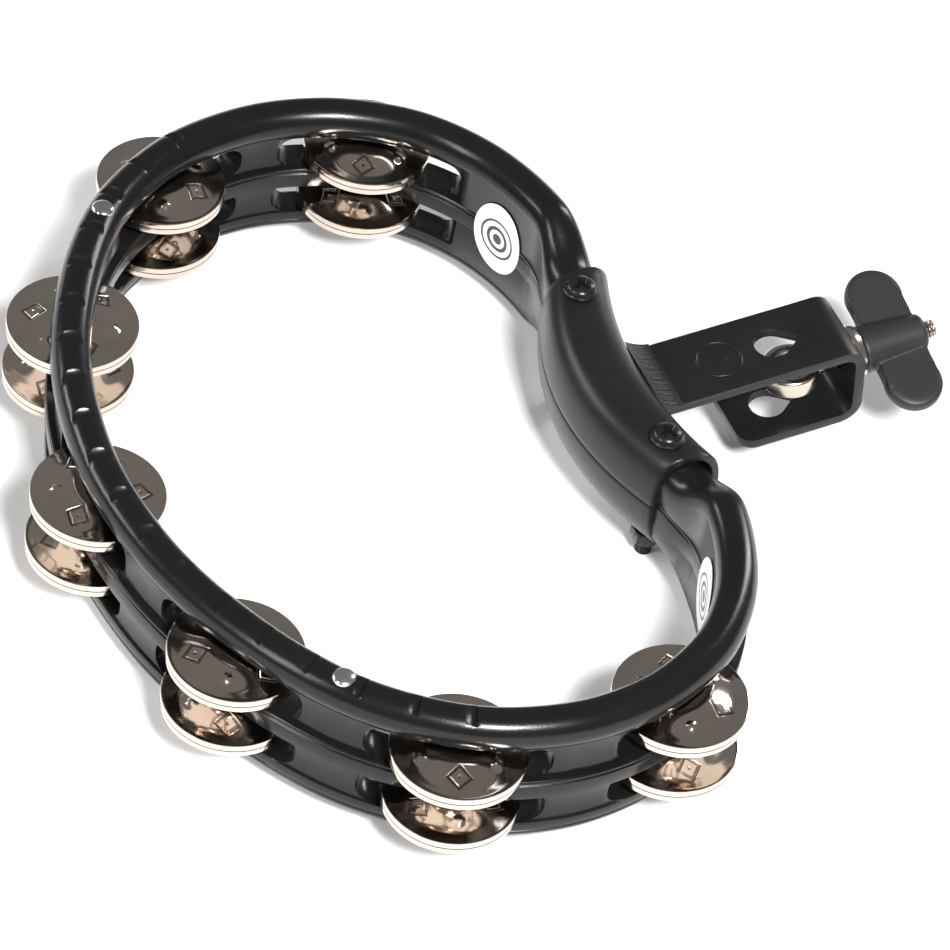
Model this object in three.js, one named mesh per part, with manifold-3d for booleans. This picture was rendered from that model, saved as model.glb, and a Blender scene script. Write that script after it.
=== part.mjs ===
// Mountable double-row tambourine: a kidney-shaped two-part moulded ring with seven stations of
// loose jingle discs in two rows, a steel handle cover, and a folded bracket with a rod clamp.
// Millimetres, +Z up. +X runs from the middle jingle station to the wing nut, and the XZ plane is
// the plane of symmetry.
import * as THREE from 'three';
import { mergeVertices } from 'three/addons/utils/BufferGeometryUtils.js';
import { ParametricGeometry } from 'three/addons/geometries/ParametricGeometry.js';
import Module from 'manifold-3d';

const wasm = await Module();
wasm.setup();

// Driving dimensions
const GAP = 0.3; // clearance between neighbouring pieces

const RING_BOTTOM = 6;
const RING_TOP = 50;
const PARTING = 27.5; // height of the joint between the two ring mouldings
const RAIL_RADIUS = 5.7; // round top rail
const RAIL_HALF = 5.6; // half width of the middle rail
const PANEL_HALF = 3.6; // half width of the recessed panels between the slots
const FOOT_HALF = 4.4; // half width of the bottom rail
const NECK_HALF = 7.3; // half width of the ring inside the handle cover
const NECK_TOP = 41.5;
const NECK_BOTTOM = 12.2;
const PATH_STEPS = 104;
const NECK_REACH = [62, 42]; // the ring narrows into the cover between these distances from its middle

const ROW_HEIGHTS = { upper: 34.2, lower: 16.7 };
const SLOT_HEIGHT = 10.6;
const SLOT_HALF = 25; // half length of a slot, measured along the ring
const SLOT_CORNER = 4.4;
const END_SLOT_EXTRA = 4; // the slots next to the handle reach this much further towards it

const STATION_PITCH = 66; // distance between stations along the ring
const DISC_RADIUS = 18.5;
const DISC_HOLE = 1.85;
const SHEET = 0.8; // thickness of the disc sheet
const LIP_HEIGHT = 1.8; // turned rim
const DISC_SEGMENTS = 16;
const PIN_RADIUS = 1;
const PIN_BOTTOM = 8;
const PIN_TOP = 46.5;

const RIVET_HEAD_RADIUS = 3.2;
const RIVET_SHANK_RADIUS = 1.6;
const RIVET_BOTTOM = 9;

const COVER_HALF_LENGTH = 38.7;
const COVER_TOP = 44.5;
const COVER_BOTTOM = 9.3;
const COVER_END_X = [148, 168.5]; // inner and outer edge at the cover's two ends
const COVER_MID_X = [138.6, 161.8]; // inner and outer edge at its middle
const COVER_SHOULDER = 2.9; // squareness of its section above and below the joint
const COVER_BELLY = 2.3;

const SCREW_Y = 30;
const SCREW_X = 154.3;
const SCREW_RADIUS = 2.5;
const SCREW_HEAD_RADIUS = 4.9;
const SCREW_HEAD_HEIGHT = 2.9;
const NUT_FLATS = 8;
const NUT_HEIGHT = 4;

const ARM_TILT = THREE.MathUtils.degToRad(7); // the bracket rises towards the wing nut
const ARM_ORIGIN = new THREE.Vector3(169, 0, 36.3); // on the arm's top face, at the cover
const ARM_ROOT = -10; // inside the cover's outline, before the cover's shape is cut away
const WELD_INSET = 0.3; // the weld's hollow top runs from here up to the cover
const WELD_REACH = 7;
const WELD_RISE = 3.4;
const ARM_WIDTH = 24;
const PLATE = 3;
const LOOP_END = 56.5;
const LOOP_HEIGHT = 28;
const LOOP_ROUND = 6.5;
const LOWER_ARM_START = 19.5;
const LOWER_ARM_CORNER = 5;
const ROD_HOLE_X = 32.6;
const ROD_HOLE_RADIUS = 5.4;
const ROD_HOLE_APEX = 8.6;
const BOLT_LINE = -14.2; // height of the eye bolt's line below the arm's top face

const EYE_X = 39;
const EYE_OUTER = 8.3;
const EYE_INNER = 5.3;
const EYE_HEIGHT = 6.4;
const SHANK_RADIUS = 3;
const SHANK_END = 84;
const WASHER_RADIUS = 8.2;
const WASHER_THICKNESS = 3.2;
const HUB_START = LOOP_END + WASHER_THICKNESS + 2 * GAP;
const HUB_END = 80.5;
const HUB_BASE_RADIUS = 7;
const HUB_TIP_RADIUS = 5.2;
const LOBE_X = 71.5;
const LOBE_OUT = 14.4; // distance of each lobe's centre from the bolt's line
const LOBE_RADIUS = 8.5;
const WING_WAIST = 0.6; // the wings are this much narrower at the hub, on each side
const WING_THICKNESS = 5;
const WING_TURN = THREE.MathUtils.degToRad(16);

const LABEL_ARC = 248; // place of the two oval labels, measured along the ring
const LABEL_HALF = [10.2, 12]; // half its length along the ring, and half its height
const LABEL_CENTRE = 26.5; // height of its middle
const LABEL_THICKNESS = 0.3;

// Materials
const plastic = new THREE.MeshStandardMaterial({ color: 0x1a1a1c, roughness: 0.45, metalness: 0 });
const coated = new THREE.MeshStandardMaterial({ color: 0x161618, roughness: 0.5, metalness: 0.1 });
const darkSteel = new THREE.MeshStandardMaterial({ color: 0x202022, roughness: 0.35, metalness: 0.8 });
const nickel = new THREE.MeshStandardMaterial({ color: 0xc9bfb6, roughness: 0.15, metalness: 1 });
const knobPlastic = new THREE.MeshStandardMaterial({ color: 0x2a2a2c, roughness: 0.6, metalness: 0 });
const paper = new THREE.MeshStandardMaterial({ color: 0xf2f2f4, roughness: 0.4, metalness: 0 });

// Solids
function solid(geometry) {
  const bare = geometry.clone();
  bare.deleteAttribute('normal');
  bare.deleteAttribute('uv');
  const merged = mergeVertices(bare, 1e-4);
  const triVerts = new Uint32Array(merged.index.array);
  const vertProperties = new Float32Array(merged.attributes.position.array);
  return new wasm.Manifold(new wasm.Mesh({ numProp: 3, vertProperties, triVerts }));
}

function geometryOf(body) {
  const mesh = body.getMesh();
  const geometry = new THREE.BufferGeometry();
  geometry.setAttribute('position', new THREE.BufferAttribute(new Float32Array(mesh.vertProperties), 3));
  geometry.setIndex(new THREE.BufferAttribute(new Uint32Array(mesh.triVerts), 1));
  geometry.computeVertexNormals();
  return geometry;
}

function cylinderZ(radius, bottom, top, x, y, segments = 12) {
  const geometry = new THREE.CylinderGeometry(radius, radius, top - bottom, segments);
  geometry.rotateX(Math.PI / 2);
  geometry.translate(x, y, (top + bottom) / 2);
  return geometry;
}

function cylinderX(radius, start, end, z, segments = 16) {
  const geometry = new THREE.CylinderGeometry(radius, radius, end - start, segments);
  geometry.rotateZ(-Math.PI / 2);
  geometry.translate((start + end) / 2, 0, z);
  return geometry;
}

function latheZ(profile, segments) {
  const geometry = new THREE.LatheGeometry(profile.map(([r, z]) => new THREE.Vector2(r, z)), segments);
  geometry.rotateX(Math.PI / 2);
  return geometry;
}

// Centre line of the ring: one half, mirrored in the XZ plane
const HALF_LINE = [
  [0, 0], [2.9, 28], [8.2, 47], [15.3, 63.1], [24.6, 79.5], [36.5, 94.6], [50.8, 106.2], [67, 114.4],
  [90, 118.7], [110, 116.4], [124, 110.9], [136.5, 102.6], [148.4, 88.2], [155.8, 71.4], [158.9, 55],
  [157.6, 39.5], [153, 22], [150.2, 0],
];
const mirrored = HALF_LINE.slice(1, -1).reverse().map(([x, y]) => [x, -y]);
const ringPoints = [...HALF_LINE, ...mirrored].map(([x, y]) => new THREE.Vector3(x, y, 0));
const ringLine = new THREE.CatmullRomCurve3(ringPoints, true, 'centripetal');
ringLine.arcLengthDivisions = 1200;
const RING_LENGTH = ringLine.getLength();

function ringAt(arc) {
  const u = THREE.MathUtils.euclideanModulo(arc / RING_LENGTH, 1);
  const point = ringLine.getPointAt(u);
  const along = ringLine.getTangentAt(u);
  const outward = new THREE.Vector3(-along.y, along.x, 0);
  return { point, along, outward };
}

function distanceFromFront(arc) {
  const wrapped = THREE.MathUtils.euclideanModulo(arc, RING_LENGTH);
  return Math.min(wrapped, RING_LENGTH - wrapped);
}

// A closed section swept once round the ring; section(arc) gives [outward, z] points
function sweptRing(section, count) {
  const sections = [];
  for (let i = 0; i < PATH_STEPS; i += 1) {
    const arc = (i / PATH_STEPS) * RING_LENGTH;
    sections.push({ place: ringAt(arc), points: section(distanceFromFront(arc)) });
  }
  const put = (u, v, target) => {
    const { place, points } = sections[Math.round(u * PATH_STEPS) % PATH_STEPS];
    const [out, z] = points[(count - Math.round(v * count)) % count];
    target.copy(place.point).addScaledVector(place.outward, out).setZ(z);
  };
  return solid(new ParametricGeometry(put, PATH_STEPS, count));
}

const STATION_ARCS = [-3, -2, -1, 0, 1, 2, 3].map((i) => i * STATION_PITCH);
const SLOT_REACH = 3 * STATION_PITCH + SLOT_HALF + END_SLOT_EXTRA;
const NECK_START = RING_LENGTH / 2 - NECK_REACH[0];
const NECK_END = RING_LENGTH / 2 - NECK_REACH[1];

function neckShare(arc) {
  return THREE.MathUtils.smoothstep(arc, NECK_START, NECK_END);
}

function wallHalf(arc) {
  if (arc < SLOT_REACH + 2) return PANEL_HALF;
  return THREE.MathUtils.lerp(RAIL_HALF - 0.3, NECK_HALF, neckShare(arc));
}

function upperSection(arc, grow = 0) {
  const share = neckShare(arc);
  const half = wallHalf(arc) + grow;
  const rail = THREE.MathUtils.lerp(RAIL_HALF, NECK_HALF, share) + grow;
  const radius = THREE.MathUtils.lerp(RAIL_RADIUS, NECK_HALF, share) + grow;
  const top = THREE.MathUtils.lerp(RING_TOP, NECK_TOP, share) + grow;
  const shelf = PARTING + 1.4;
  const centre = top - radius;
  const points = [[rail, PARTING + GAP / 2], [rail, shelf], [half, shelf + 0.01]];
  const start = Math.asin(Math.min(half / radius, 1));
  const arcSteps = 8;
  for (let i = 0; i <= arcSteps; i += 1) {
    const angle = Math.PI - start - (i / arcSteps) * 2 * (Math.PI - start);
    points.push([radius * Math.sin(angle), centre + radius * Math.cos(angle)]);
  }
  points.push([-half, shelf + 0.01], [-rail, shelf], [-rail, PARTING + GAP / 2]);
  return points;
}

function lowerSection(arc, grow = 0) {
  const share = neckShare(arc);
  const footTop = ROW_HEIGHTS.lower - SLOT_HEIGHT / 2;
  const railBottom = ROW_HEIGHTS.lower + SLOT_HEIGHT / 2;
  const half = arc < SLOT_REACH + 2 ? PANEL_HALF : RAIL_HALF - 0.3;
  const open = [
    [FOOT_HALF - 1.4, RING_BOTTOM], [FOOT_HALF, RING_BOTTOM + 1.4], [FOOT_HALF, footTop],
    [half, footTop + 0.01], [half, railBottom], [RAIL_HALF, railBottom + 0.01], [RAIL_HALF, PARTING - GAP / 2],
  ];
  const top = PARTING - GAP / 2;
  const neck = [
    [0.46, NECK_BOTTOM], [0.75, NECK_BOTTOM + 1], [0.9, NECK_BOTTOM + 2.6], [0.96, NECK_BOTTOM + 4.5],
    [1, NECK_BOTTOM + 7], [1, NECK_BOTTOM + 9], [1, top],
  ];
  const right = open.map(([out, z], i) => [
    THREE.MathUtils.lerp(out, neck[i][0] * NECK_HALF, share) + grow,
    THREE.MathUtils.lerp(z, neck[i][1], share) - (i < 3 ? grow : 0),
  ]);
  const left = right.map(([out, z]) => [-out, z]).reverse();
  return [...right, ...left];
}

// Openings cut through the ring's wall at each station
function slotCutter(arc, height) {
  const extra = Math.abs(arc) > 2.5 * STATION_PITCH ? END_SLOT_EXTRA : 0;
  const reach = SLOT_HALF + extra / 2;
  const { point, along, outward } = ringAt(arc + (Math.sign(arc) * extra) / 2);
  const half = SLOT_HEIGHT / 2;
  const shape = new THREE.Shape();
  shape.moveTo(-reach + SLOT_CORNER, -half);
  shape.lineTo(reach - SLOT_CORNER, -half);
  shape.absarc(reach - SLOT_CORNER, -half + SLOT_CORNER, SLOT_CORNER, -Math.PI / 2, 0);
  shape.absarc(reach - SLOT_CORNER, half - SLOT_CORNER, SLOT_CORNER, 0, Math.PI / 2);
  shape.absarc(-reach + SLOT_CORNER, half - SLOT_CORNER, SLOT_CORNER, Math.PI / 2, Math.PI);
  shape.absarc(-reach + SLOT_CORNER, -half + SLOT_CORNER, SLOT_CORNER, Math.PI, 1.5 * Math.PI);
  const geometry = new THREE.ExtrudeGeometry(shape, { depth: 40, bevelEnabled: false, curveSegments: 3 });
  geometry.translate(0, 0, -20);
  const axes = new THREE.Matrix4().makeBasis(along, new THREE.Vector3(0, 0, 1), outward.clone().negate());
  if (axes.determinant() < 0) axes.makeBasis(along, new THREE.Vector3(0, 0, 1), outward);
  axes.setPosition(point.x, point.y, height);
  geometry.applyMatrix4(axes);
  return solid(geometry);
}

const rivetArc = 1.5 * STATION_PITCH;
const rivets = [rivetArc, -rivetArc].map((arc) => ringAt(arc).point);
const stations = STATION_ARCS.map((arc) => ringAt(arc).point);

function drill(body) {
  let result = body;
  for (const point of stations) {
    result = result.subtract(solid(cylinderZ(PIN_RADIUS + GAP, PIN_BOTTOM - GAP, PIN_TOP + GAP, point.x, point.y, 8)));
  }
  for (const point of rivets) {
    const shank = cylinderZ(RIVET_SHANK_RADIUS + GAP, RIVET_BOTTOM - GAP, RING_TOP + 5, point.x, point.y, 8);
    const seat = cylinderZ(RIVET_HEAD_RADIUS + GAP, RING_TOP - 0.9, RING_TOP + 5, point.x, point.y, 12);
    result = result.subtract(solid(shank)).subtract(solid(seat));
  }
  for (const y of [SCREW_Y, -SCREW_Y]) {
    result = result.subtract(solid(cylinderZ(SCREW_RADIUS + GAP, -5, 70, SCREW_X, y, 12)));
  }
  return result;
}

const upperCount = upperSection(0).length;
const lowerCount = lowerSection(0).length;
let ringUpper = sweptRing((arc) => upperSection(arc), upperCount);
let ringLower = sweptRing((arc) => lowerSection(arc), lowerCount);
for (const arc of STATION_ARCS) {
  ringUpper = ringUpper.subtract(slotCutter(arc, ROW_HEIGHTS.upper));
  ringLower = ringLower.subtract(slotCutter(arc, ROW_HEIGHTS.lower));
}
ringUpper = drill(ringUpper);
ringLower = drill(ringLower);

// Handle cover: one rounded block over the concave part of the ring, parted level with the ring
function coverSection(y, steps) {
  const share = (y / COVER_HALF_LENGTH) ** 2;
  const inner = THREE.MathUtils.lerp(COVER_MID_X[0], COVER_END_X[0], share);
  const outer = THREE.MathUtils.lerp(COVER_MID_X[1], COVER_END_X[1], share);
  const points = [];
  for (let i = 0; i < steps; i += 1) {
    const angle = (i / steps) * 2 * Math.PI;
    const above = Math.sin(angle) >= 0;
    const power = above ? COVER_SHOULDER : COVER_BELLY;
    const height = above ? COVER_TOP - PARTING : PARTING - COVER_BOTTOM;
    const across = Math.sign(Math.cos(angle)) * Math.abs(Math.cos(angle)) ** (2 / power);
    const up = Math.sign(Math.sin(angle)) * Math.abs(Math.sin(angle)) ** (2 / power);
    points.push([(inner + outer) / 2 + ((outer - inner) / 2) * across, PARTING + height * up]);
  }
  return points;
}

function coverBlock() {
  const steps = 28;
  const rows = 14;
  const put = (u, v, target) => {
    const row = Math.round(u * (rows + 2)) - 1;
    const y = THREE.MathUtils.clamp((row / rows) * 2 - 1, -1, 1) * COVER_HALF_LENGTH;
    const section = coverSection(y, steps);
    const [x, z] = section[Math.round(v * steps) % steps];
    if (row < 0 || row > rows) target.set((section[0][0] + section[steps / 2][0]) / 2, y, PARTING);
    else target.set(x, y, z);
  };
  return solid(new ParametricGeometry(put, rows + 2, steps));
}

function slab(bottom, top) {
  const geometry = new THREE.BoxGeometry(3 * RING_LENGTH / Math.PI, RING_LENGTH, top - bottom);
  geometry.translate(0, 0, (bottom + top) / 2);
  return solid(geometry);
}

const grownUpper = sweptRing((arc) => upperSection(arc, GAP), upperCount);
const grownLower = sweptRing((arc) => lowerSection(arc, GAP), lowerCount);
const ringSpace = grownUpper.add(grownLower);
const cover = drill(coverBlock().subtract(ringSpace));
const coverUpper = cover.intersect(slab(PARTING + GAP / 2, 90));
const coverLower = cover.intersect(slab(-10, PARTING - GAP / 2));

// Fasteners of the handle cover
function coverScrew(y) {
  const top = COVER_TOP + GAP;
  const profile = [
    [0, 0], [SCREW_RADIUS, 0], [SCREW_RADIUS, top], [SCREW_HEAD_RADIUS, top], [SCREW_HEAD_RADIUS, top + 0.9],
    [SCREW_HEAD_RADIUS - 0.9, top + 2.2], [2, top + SCREW_HEAD_HEIGHT], [0, top + SCREW_HEAD_HEIGHT],
  ];
  const geometry = latheZ(profile, 16);
  geometry.translate(SCREW_X, y, 0);
  return geometry;
}

function coverNut(y) {
  const top = COVER_BOTTOM - GAP;
  const outside = cylinderZ(NUT_FLATS / Math.sqrt(3), top - NUT_HEIGHT, top, SCREW_X, y, 6);
  const hole = cylinderZ(SCREW_RADIUS + GAP, -1, top + 1, SCREW_X, y, 12);
  return geometryOf(solid(outside).subtract(solid(hole)));
}

function rivet(point) {
  const seat = RING_TOP - 0.6;
  const profile = [
    [0, RIVET_BOTTOM], [RIVET_SHANK_RADIUS, RIVET_BOTTOM], [RIVET_SHANK_RADIUS, seat],
    [RIVET_HEAD_RADIUS, seat], [RIVET_HEAD_RADIUS - 0.6, seat + 0.8], [1.4, seat + 1.4], [0, seat + 1.5],
  ];
  const geometry = latheZ(profile, 12);
  geometry.translate(point.x, point.y, 0);
  return geometry;
}

// Jingles: a pressed sheet disc with a low dome and a turned rim; side is +1 for the upper disc
// of a pair and -1 for the lower one, which is the same disc turned over
function jingle(point, height, side) {
  const rim = GAP / 2 + LIP_HEIGHT;
  const profile = [
    [DISC_HOLE, rim + 2.1], [11.8, rim + 1.5], [14.3, rim], [DISC_RADIUS, rim], [DISC_RADIUS, GAP / 2],
    [DISC_RADIUS - SHEET, GAP / 2], [DISC_RADIUS - SHEET, rim - SHEET], [14, rim - SHEET],
    [11.5, rim + 1.5 - SHEET], [DISC_HOLE, rim + 2.1 - SHEET], [DISC_HOLE, rim + 2.1],
  ].reverse();
  const geometry = latheZ(profile, DISC_SEGMENTS);
  if (side < 0) geometry.rotateX(Math.PI);
  geometry.translate(point.x, point.y, height);
  return geometry;
}

// Bracket: one strap folded into a loop, welded to the cover, with a rod hole through both arms
function teardrop(centreX) {
  const swing = Math.acos(ROD_HOLE_RADIUS / ROD_HOLE_APEX);
  const shape = new THREE.Shape();
  shape.absarc(centreX, 0, ROD_HOLE_RADIUS, swing, 2 * Math.PI - swing, false);
  shape.lineTo(centreX + ROD_HOLE_APEX, 0);
  shape.closePath();
  return shape;
}

function armProfile() {
  const inner = LOOP_ROUND - PLATE;
  const low = -LOOP_HEIGHT;
  const shape = new THREE.Shape();
  shape.moveTo(ARM_ROOT, 0);
  shape.lineTo(ARM_ROOT, -PLATE);
  shape.lineTo(LOOP_END - LOOP_ROUND, -PLATE);
  shape.absarc(LOOP_END - LOOP_ROUND, -LOOP_ROUND, inner, Math.PI / 2, 0, true);
  shape.lineTo(LOOP_END - PLATE, low + LOOP_ROUND);
  shape.absarc(LOOP_END - LOOP_ROUND, low + LOOP_ROUND, inner, 0, -Math.PI / 2, true);
  shape.lineTo(LOWER_ARM_START, low + PLATE);
  shape.lineTo(LOWER_ARM_START, low);
  shape.lineTo(LOOP_END - LOOP_ROUND, low);
  shape.absarc(LOOP_END - LOOP_ROUND, low + LOOP_ROUND, LOOP_ROUND, -Math.PI / 2, 0, false);
  shape.lineTo(LOOP_END, -LOOP_ROUND);
  shape.absarc(LOOP_END - LOOP_ROUND, -LOOP_ROUND, LOOP_ROUND, 0, Math.PI / 2, false);
  shape.closePath();
  return shape;
}

function bracket() {
  const strap = new THREE.ExtrudeGeometry(armProfile(), {
    depth: ARM_WIDTH, bevelEnabled: false, curveSegments: 6,
  });
  strap.rotateX(Math.PI / 2);
  strap.translate(0, ARM_WIDTH / 2, 0);
  const rodHole = new THREE.ExtrudeGeometry(teardrop(ROD_HOLE_X), {
    depth: 60, bevelEnabled: false, curveSegments: 16,
  });
  rodHole.translate(0, 0, -45);
  const bead = new THREE.Shape();
  bead.moveTo(ARM_ROOT, -1);
  bead.lineTo(-WELD_INSET, -1);
  bead.lineTo(-WELD_INSET, 0.05);
  bead.quadraticCurveTo(-WELD_REACH / 2, 0.3, -WELD_REACH, WELD_RISE);
  bead.lineTo(ARM_ROOT, WELD_RISE);
  bead.closePath();
  const weld = new THREE.ExtrudeGeometry(bead, { depth: ARM_WIDTH + 1, bevelEnabled: false, curveSegments: 4 });
  weld.rotateX(Math.PI / 2);
  weld.translate(0, ARM_WIDTH / 2 + 0.5, 0);
  let body = solid(strap).add(solid(weld)).subtract(solid(rodHole));
  body = body.subtract(solid(cylinderX(SHANK_RADIUS + GAP, LOOP_END - 8, LOOP_END + 8, BOLT_LINE)));
  for (const side of [1, -1]) {
    const corner = new THREE.Shape();
    const c = LOWER_ARM_CORNER;
    const edge = ARM_WIDTH / 2;
    corner.moveTo(LOWER_ARM_START - 1, side * (edge + 1));
    corner.lineTo(LOWER_ARM_START - 1, side * (edge - c));
    corner.lineTo(LOWER_ARM_START, side * (edge - c));
    corner.absarc(LOWER_ARM_START + c, side * (edge - c), c, Math.PI, side > 0 ? Math.PI / 2 : 1.5 * Math.PI, side > 0);
    corner.lineTo(LOWER_ARM_START + c, side * (edge + 1));
    corner.closePath();
    const cut = new THREE.ExtrudeGeometry(corner, { depth: 10, bevelEnabled: false, curveSegments: 4 });
    cut.translate(0, 0, -LOOP_HEIGHT - 3);
    body = body.subtract(solid(cut));
  }
  return body;
}

// Rod clamp: eye bolt, cone washer and wing nut on one line through the loop's end wall
function eyeBolt() {
  const half = EYE_HEIGHT / 2;
  const edge = 0.9;
  const eye = latheZ([
    [EYE_INNER, -half + edge], [EYE_INNER + edge, -half], [EYE_OUTER - edge, -half], [EYE_OUTER, -half + edge],
    [EYE_OUTER, half - edge], [EYE_OUTER - edge, half], [EYE_INNER + edge, half], [EYE_INNER, half - edge],
    [EYE_INNER, -half + edge],
  ], 20);
  eye.translate(EYE_X, 0, BOLT_LINE);
  const shank = cylinderX(SHANK_RADIUS, EYE_X + EYE_INNER + 0.8, SHANK_END, BOLT_LINE, 12);
  return solid(eye).add(solid(shank));
}

function clampWasher() {
  const bore = SHANK_RADIUS + GAP;
  const profile = [
    [bore, 0], [WASHER_RADIUS, 0], [WASHER_RADIUS, 1.8], [WASHER_RADIUS - 0.8, WASHER_THICKNESS],
    [bore, WASHER_THICKNESS], [bore, 0],
  ];
  const geometry = latheZ(profile, 20);
  geometry.rotateY(Math.PI / 2);
  geometry.translate(LOOP_END + GAP, 0, BOLT_LINE);
  return geometry;
}

function wingNut() {
  const hub = latheZ([
    [0, HUB_START], [HUB_BASE_RADIUS, HUB_START], [HUB_TIP_RADIUS, HUB_END - 0.8], [HUB_TIP_RADIUS - 0.8, HUB_END],
    [0, HUB_END],
  ], 20);
  hub.rotateY(Math.PI / 2);
  const wings = new THREE.Shape();
  const lean = 0.12;
  wings.absarc(LOBE_X, LOBE_OUT, LOBE_RADIUS, -lean, Math.PI + lean, false);
  wings.lineTo(LOBE_X - LOBE_RADIUS + WING_WAIST, 0);
  wings.absarc(LOBE_X, -LOBE_OUT, LOBE_RADIUS, Math.PI - lean, 2 * Math.PI + lean, false);
  wings.lineTo(LOBE_X + LOBE_RADIUS - WING_WAIST, 0);
  wings.closePath();
  const blade = new THREE.ExtrudeGeometry(wings, {
    depth: WING_THICKNESS - 2, curveSegments: 10, bevelEnabled: true, bevelSize: 1, bevelOffset: -1,
    bevelThickness: 1, bevelSegments: 1,
  });
  blade.translate(0, 0, -(WING_THICKNESS - 2) / 2);
  const bore = cylinderX(SHANK_RADIUS + GAP, HUB_START - 2, HUB_END + 2, 0, 12);
  const geometry = geometryOf(solid(hub).add(solid(blade)).subtract(solid(bore)));
  geometry.rotateX(WING_TURN);
  geometry.translate(0, 0, BOLT_LINE);
  return geometry;
}

// Oval labels: a thin band that follows the inner wall, cut to an oval
function label(side) {
  const face = (arc) => wallHalf(arc) + GAP;
  const low = LABEL_CENTRE - LABEL_HALF[1] - 1;
  const high = LABEL_CENTRE + LABEL_HALF[1] + 1;
  const band = sweptRing((arc) => [
    [-face(arc) - LABEL_THICKNESS, low], [-face(arc), low], [-face(arc), high], [-face(arc) - LABEL_THICKNESS, high],
  ], 4);
  const { point, along, outward } = ringAt(side * LABEL_ARC);
  const oval = new THREE.Shape();
  oval.absellipse(0, 0, LABEL_HALF[0], LABEL_HALF[1], 0, 2 * Math.PI);
  const cutter = new THREE.ExtrudeGeometry(oval, { depth: 16, bevelEnabled: false, curveSegments: 16 });
  cutter.translate(0, 0, -12);
  const axes = new THREE.Matrix4().makeBasis(along, new THREE.Vector3(0, 0, 1), outward);
  if (axes.determinant() < 0) axes.makeBasis(along.clone().negate(), new THREE.Vector3(0, 0, 1), outward);
  axes.setPosition(point.x, point.y, LABEL_CENTRE);
  cutter.applyMatrix4(axes);
  return geometryOf(band.intersect(solid(cutter)));
}

// Assembly
const instrument = new THREE.Group();

function addMesh(parent, name, geometry, material) {
  const mesh = new THREE.Mesh(geometry, material);
  mesh.name = name;
  parent.add(mesh);
  return mesh;
}

addMesh(instrument, 'ring_upper_moulding', geometryOf(ringUpper), plastic);
addMesh(instrument, 'ring_lower_moulding', geometryOf(ringLower), plastic);
addMesh(instrument, 'handle_cover_upper', geometryOf(coverUpper), coated);
addMesh(instrument, 'handle_cover_lower', geometryOf(coverLower), coated);

for (const [side, name] of [[1, 'left'], [-1, 'right']]) {
  addMesh(instrument, `cover_screw_${name}`, coverScrew(side * SCREW_Y), darkSteel);
  addMesh(instrument, `cover_nut_${name}`, coverNut(side * SCREW_Y), darkSteel);
  addMesh(instrument, `ring_rivet_${name}`, rivet(side > 0 ? rivets[0] : rivets[1]), nickel);
  addMesh(instrument, `label_${name}`, label(side), paper);
}

stations.forEach((point, index) => {
  const place = index + 1;
  addMesh(instrument, `jingle_pin_${place}`, cylinderZ(PIN_RADIUS, PIN_BOTTOM, PIN_TOP, point.x, point.y, 8), nickel);
  for (const [row, height] of Object.entries(ROW_HEIGHTS)) {
    addMesh(instrument, `jingle_${place}_${row}_row_top_disc`, jingle(point, height, 1), nickel);
    addMesh(instrument, `jingle_${place}_${row}_row_bottom_disc`, jingle(point, height, -1), nickel);
  }
});

const clamp = new THREE.Group();
clamp.position.copy(ARM_ORIGIN);
clamp.rotation.y = -ARM_TILT;
instrument.add(clamp);
clamp.updateMatrix();
const clampInverse = clamp.matrix.clone().invert();
const coverInClamp = geometryOf(coverBlock()).applyMatrix4(clampInverse);
coverInClamp.translate(GAP, 0, 0);
addMesh(clamp, 'mounting_bracket', geometryOf(bracket().subtract(solid(coverInClamp))), coated);
addMesh(clamp, 'eye_bolt', geometryOf(eyeBolt()), nickel);
addMesh(clamp, 'cone_washer', clampWasher(), nickel);
addMesh(clamp, 'wing_nut', wingNut(), knobPlastic);

// The origin is the middle of the instrument's footprint, level with its lowest point
instrument.updateMatrixWorld(true);
const box = new THREE.Box3().setFromObject(instrument, true);
instrument.position.set(-(box.min.x + box.max.x) / 2, -(box.min.y + box.max.y) / 2, -box.min.z);

export default instrument;
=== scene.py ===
"""Looks of a mountable double-row tambourine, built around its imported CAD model.

Lengths in this file are millimetres in the ring's own frame: x and y count from the pin of the middle
jingle station and z from the lowest point. ``Maker.place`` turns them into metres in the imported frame.
"""

import logging
import math
from dataclasses import dataclass, field
from enum import Enum
from typing import Callable, Iterable, Sequence

import bpy
from mathutils import Matrix, Vector


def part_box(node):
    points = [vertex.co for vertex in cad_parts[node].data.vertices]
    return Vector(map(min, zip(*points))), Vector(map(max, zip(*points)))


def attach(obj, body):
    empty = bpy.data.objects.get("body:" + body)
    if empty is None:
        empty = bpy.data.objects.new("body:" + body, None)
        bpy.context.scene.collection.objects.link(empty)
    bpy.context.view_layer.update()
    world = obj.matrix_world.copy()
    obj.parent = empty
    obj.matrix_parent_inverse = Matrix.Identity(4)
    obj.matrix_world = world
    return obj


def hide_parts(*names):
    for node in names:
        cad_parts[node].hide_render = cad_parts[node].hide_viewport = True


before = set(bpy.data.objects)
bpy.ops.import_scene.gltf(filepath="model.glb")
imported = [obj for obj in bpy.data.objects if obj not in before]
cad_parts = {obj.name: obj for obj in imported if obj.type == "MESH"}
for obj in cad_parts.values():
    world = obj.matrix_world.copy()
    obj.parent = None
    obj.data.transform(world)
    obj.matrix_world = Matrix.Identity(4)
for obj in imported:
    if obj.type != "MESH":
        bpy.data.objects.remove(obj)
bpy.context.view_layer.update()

LOG = logging.getLogger("tambourine")
MM = 0.001
GAP = 0.3
PARTING = 27.5
ARM_TILT = math.radians(7)
Point = tuple[float, float, float]
Profile = Sequence[tuple[float, float]]


class Side(Enum):
    """The two sides of the instrument's middle plane."""

    LEFT = 1
    RIGHT = -1

    @property
    def word(self) -> str:
        """The side's word in node names."""
        return self.name.lower()


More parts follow.
